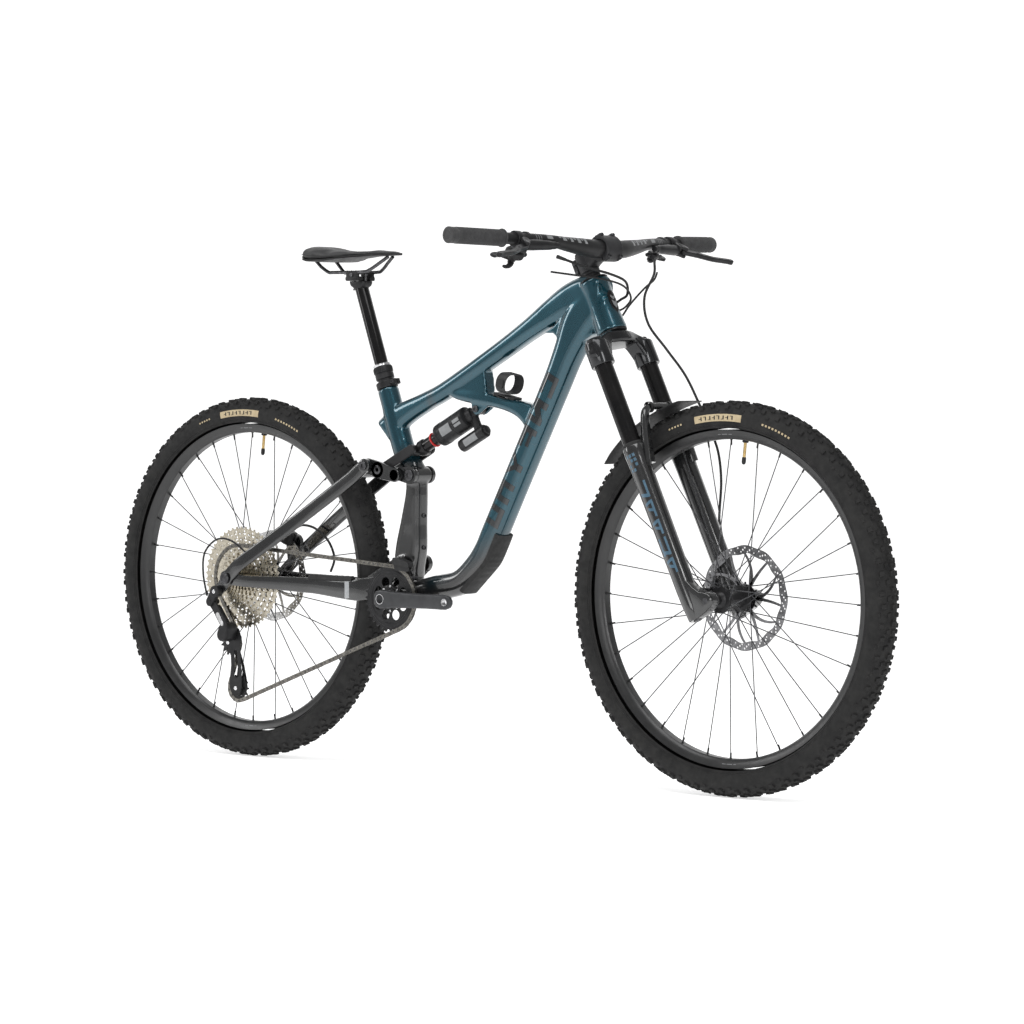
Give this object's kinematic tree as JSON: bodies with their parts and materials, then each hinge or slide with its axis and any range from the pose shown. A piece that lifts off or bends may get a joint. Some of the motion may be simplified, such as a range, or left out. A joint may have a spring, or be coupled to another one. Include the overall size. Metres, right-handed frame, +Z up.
{
  "type": "mountain bike",
  "caption": "Full-suspension mountain bike with sprung fork, linkage rear end, dropper seatpost, disc brakes and a derailleur drivetrain.",
  "frame": {"origin": "on the ground, halfway between the two axles, in the mid-plane", "axes": "+X forward, +Y to the rider's left, +Z up"},
  "size_m": [1.9877, 0.804, 1.0668],
  "materials": {
    "frame_teal": "gloss metallic",
    "frame_black": "gloss",
    "fork_black": "gloss",
    "stanchion_black": "polished",
    "black_alloy": "matte anodised",
    "crank_grey": "satin",
    "steel_dark": "satin",
    "steel": "satin",
    "cassette_tan": "satin",
    "chain_grey": "satin",
    "plastic_black": "matte",
    "rubber_black": "matte",
    "grip_rubber": "matte",
    "tyre": "matte",
    "saddle_cover": "matte",
    "hose_black": "satin",
    "strap_fabric": "woven"
  },
  "bodies": {
    "frame": {"front_triangle": "frame_teal", "headset_bearings": "steel_dark", "seat_collar": "black_alloy", "dropper_lower_tube": "black_alloy", "downtube_guard": "rubber_black", "bottom_bracket": "black_alloy", "accessory_strap": "strap_fabric", "chain_guide": "plastic_black", "pivot_axles_and_bolts": "steel_dark", "chain": "chain_grey", "shift_cable": "hose_black", "dropper_cable": "hose_black", "rear_brake_hose": "hose_black"},
    "steering": {"fork_crown_steerer": "fork_black", "fork_stanchions": "stanchion_black", "stem": "black_alloy", "headset_spacers": "black_alloy", "handlebar": "black_alloy", "grips": "grip_rubber", "brake_lever_bodies": "black_alloy", "shifter_body": "plastic_black", "dropper_remote_body": "plastic_black", "front_brake_hose": "hose_black"},
    "right_brake_lever": {"brake_lever_right": "black_alloy"},
    "left_brake_lever": {"brake_lever_left": "black_alloy"},
    "shift_paddle": {"shifter_thumb_lever": "plastic_black"},
    "release_paddle": {"shifter_release_lever": "plastic_black"},
    "dropper_paddle": {"dropper_remote_lever": "black_alloy"},
    "fork_slider": {"fork_lowers": "fork_black", "fork_dust_seals": "rubber_black", "front_axle": "steel_dark", "front_brake_caliper": "black_alloy", "front_fender": "plastic_black"},
    "front_wheel": {"front_tyre": "tyre", "front_rim": "black_alloy", "front_spokes": "steel_dark", "front_hub": "black_alloy", "front_brake_rotor": "steel_dark"},
    "chainstay": {"chainstay": "frame_black", "chainstay_guard": "rubber_black", "rear_axle": "steel_dark", "rear_derailleur": "black_alloy"},
    "guide_pulley": {"guide_pulley": "plastic_black"},
    "tension_pulley": {"tension_pulley": "plastic_black"},
    "seatstay": {"seatstay": "frame_black", "rear_brake_caliper": "black_alloy"},
    "rocker": {"rocker_link": "frame_black"},
    "shock_body": {"shock_body": "black_alloy"},
    "shock_shaft": {"shock_shaft_yoke": "black_alloy"},
    "rear_wheel": {"rear_tyre": "tyre", "rear_rim": "black_alloy", "rear_spokes": "steel_dark", "rear_hub": "black_alloy", "rear_brake_rotor": "steel"},
    "cassette": {"cassette": "cassette_tan"},
    "crankset": {"crank_arms": "crank_grey", "chainring": "black_alloy"},
    "dropper": {"dropper_post": "stanchion_black", "saddle_rails": "steel_dark", "saddle": "saddle_cover"}
  },
  "joints": [
    {"name": "steering", "type": "hinge", "parent": "frame", "child": "steering", "pos_m": [0.31106, 0, 0.92169], "axis": [-0.4305, 0, 0.9026], "range_deg": [-65, 65], "deforming": ["shift_cable", "dropper_cable", "rear_brake_hose"]},
    {"name": "fork_travel", "type": "slide", "parent": "steering", "child": "fork_slider", "axis": [-0.4305, 0, 0.9026], "range_m": [0, 0.16], "stiffness_N_per_m": 8000, "springref_m": -0.03, "deforming": ["front_brake_hose"]},
    {"name": "front_wheel_spin", "type": "hinge", "parent": "fork_slider", "child": "front_wheel", "pos_m": [0.622, 0, 0.372], "axis": [0, 1, 0], "continuous": true},
    {"name": "rear_suspension", "type": "hinge", "parent": "frame", "child": "chainstay", "pos_m": [-0.18, 0, 0.412], "axis": [0, 1, 0], "range_deg": [0, 18.19], "stiffness_Nm_per_rad": 3000, "springref_deg": -2.86, "deforming": ["chain", "shift_cable", "rear_brake_hose"]},
    {"name": "rocker_pivot", "type": "hinge", "parent": "frame", "child": "rocker", "pos_m": [-0.162, 0, 0.591], "axis": [0, 1, 0], "range_deg": [0, 48.37]},
    {"name": "seatstay_pivot", "type": "hinge", "parent": "chainstay", "child": "seatstay", "pos_m": [-0.622, 0, 0.372], "axis": [0, 1, 0], "range_deg": [-7.57, 0]},
    {"name": "shock_pivot", "type": "hinge", "parent": "frame", "child": "shock_body", "pos_m": [-0.001, 0, 0.724], "axis": [0, 1, 0], "range_deg": [0, 8.36]},
    {"name": "shock_stroke", "type": "slide", "parent": "shock_body", "child": "shock_shaft", "axis": [0.886, 0, 0.4637], "range_m": [0, 0.0505]},
    {"name": "rear_wheel_spin", "type": "hinge", "parent": "chainstay", "child": "rear_wheel", "pos_m": [-0.622, 0, 0.372], "axis": [0, 1, 0], "continuous": true},
    {"name": "crank_spin", "type": "hinge", "parent": "frame", "child": "crankset", "pos_m": [-0.189, 0, 0.345], "axis": [0, 1, 0], "continuous": true},
    {"name": "cassette_spin", "type": "hinge", "parent": "chainstay", "child": "cassette", "pos_m": [-0.622, 0, 0.372], "axis": [0, 1, 0], "continuous": true},
    {"name": "guide_pulley_spin", "type": "hinge", "parent": "chainstay", "child": "guide_pulley", "pos_m": [-0.645, -0.04375, 0.237], "axis": [0, 1, 0], "continuous": true},
    {"name": "tension_pulley_spin", "type": "hinge", "parent": "chainstay", "child": "tension_pulley", "pos_m": [-0.623, -0.04375, 0.143], "axis": [0, 1, 0], "continuous": true},
    {"name": "dropper_travel", "type": "slide", "parent": "frame", "child": "dropper", "axis": [-0.3305, 0, 0.9438], "range_m": [-0.15, 0]},
    {"name": "right_brake_pull", "type": "hinge", "parent": "steering", "child": "right_brake_lever", "pos_m": [0.31867, -0.242, 1.03205], "axis": [-0.5, 0, -0.866], "range_deg": [0, 14], "stiffness_Nm_per_rad": 0.6, "springref_deg": -11.46},
    {"name": "left_brake_pull", "type": "hinge", "parent": "steering", "child": "left_brake_lever", "pos_m": [0.31867, 0.242, 1.03205], "axis": [0.5, 0, 0.866], "range_deg": [0, 14], "stiffness_Nm_per_rad": 0.6, "springref_deg": -11.46},
    {"name": "shift_push", "type": "hinge", "parent": "steering", "child": "shift_paddle", "pos_m": [0.2583, -0.208, 1.01148], "axis": [-0.5, 0, -0.866], "range_deg": [0, 24], "stiffness_Nm_per_rad": 0.3, "springref_deg": -17.19},
    {"name": "release_push", "type": "hinge", "parent": "steering", "child": "release_paddle", "pos_m": [0.2548, -0.208, 1.00542], "axis": [0.5, 0, 0.866], "range_deg": [0, 16], "stiffness_Nm_per_rad": 0.3, "springref_deg": -17.19},
    {"name": "dropper_push", "type": "hinge", "parent": "steering", "child": "dropper_paddle", "pos_m": [0.26626, 0.202, 1.01728], "axis": [0.5, 0, 0.866], "range_deg": [0, 20], "stiffness_Nm_per_rad": 0.3, "springref_deg": -17.19}
  ],
  "couplings": [
    {"joint": "rocker_pivot", "follows": "rear_suspension", "ratio": 2.6563},
    {"joint": "seatstay_pivot", "follows": "rear_suspension", "ratio": -0.4133},
    {"joint": "shock_pivot", "follows": "rear_suspension", "ratio": 0.4566},
    {"joint": "shock_stroke", "follows": "rear_suspension", "m_per_rad": 0.15876},
    {"joint": "cassette_spin", "follows": "crank_spin", "ratio": 0.9697},
    {"joint": "guide_pulley_spin", "follows": "crank_spin", "ratio": -2.4615},
    {"joint": "tension_pulley_spin", "follows": "crank_spin", "ratio": 2.4615}
  ]
}
